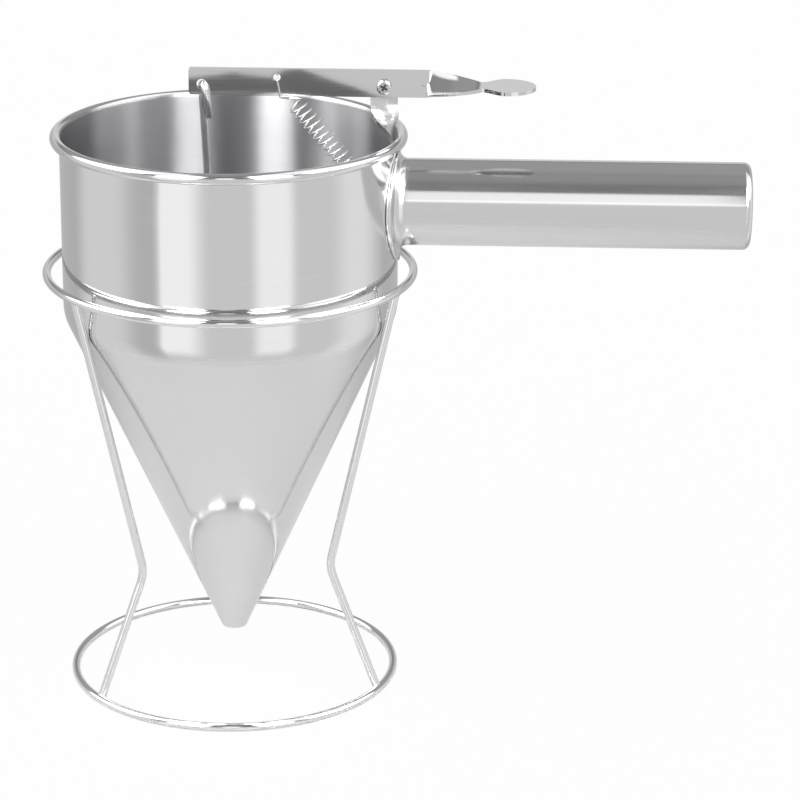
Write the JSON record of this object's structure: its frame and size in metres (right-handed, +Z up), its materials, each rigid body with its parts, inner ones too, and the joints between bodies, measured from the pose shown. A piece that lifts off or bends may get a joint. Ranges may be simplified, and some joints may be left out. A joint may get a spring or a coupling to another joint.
{
  "type": "pancake batter dispenser",
  "caption": "Steel batter funnel with a tube handle, a thumb lever that lifts a sprung rod valve, and a bent wire stand.",
  "frame": {"origin": "centre of the stand's base ring, on the table it stands on", "axes": "+Z up the funnel's axis, +X along the handle towards its end, -Y towards the face of the lever with the screw head"},
  "size_m": [0.2906, 0.1548, 0.2636],
  "materials": {
    "polished_steel": "bright polished",
    "sheet_steel": "polished sheet",
    "wire_steel": "bright wire",
    "fastener_steel": "turned"
  },
  "bodies": {
    "stand": {"stand_base_ring": "wire_steel", "stand_top_ring": "wire_steel", "stand_leg_left": "wire_steel", "stand_leg_right": "wire_steel", "stand_leg_rear": "wire_steel"},
    "funnel": {"funnel_body": "polished_steel", "handle_saddle": "polished_steel", "handle_tube": "polished_steel", "handle_end_cap": "polished_steel", "lever_bracket": "sheet_steel", "pivot_screw": "fastener_steel", "pivot_nut": "fastener_steel", "return_spring": "wire_steel"},
    "lever_arm": {"lever": "sheet_steel"},
    "valve": {"valve_rod": "wire_steel", "valve_plug": "fastener_steel"}
  },
  "joints": [
    {"name": "funnel_lift", "type": "slide", "parent": "stand", "child": "funnel", "axis": [0, 0, 1], "range_m": [0, 0.175]},
    {"name": "lever_pivot", "type": "hinge", "parent": "funnel", "child": "lever_arm", "pos_m": [0.0633, 0, 0.2567], "axis": [0, 1, 0], "range_deg": [0, 20], "stiffness_Nm_per_rad": 0.3, "springref_deg": -28.65, "deforming": ["return_spring"]},
    {"name": "rod_swing", "type": "hinge", "parent": "lever_arm", "child": "valve", "pos_m": [-0.0107, -0.0018, 0.2567], "axis": [0, 1, 0], "range_deg": [-20.5, 0.5]}
  ],
  "couplings": [
    {"joint": "rod_swing", "follows": "lever_pivot", "ratio": -1}
  ]
}
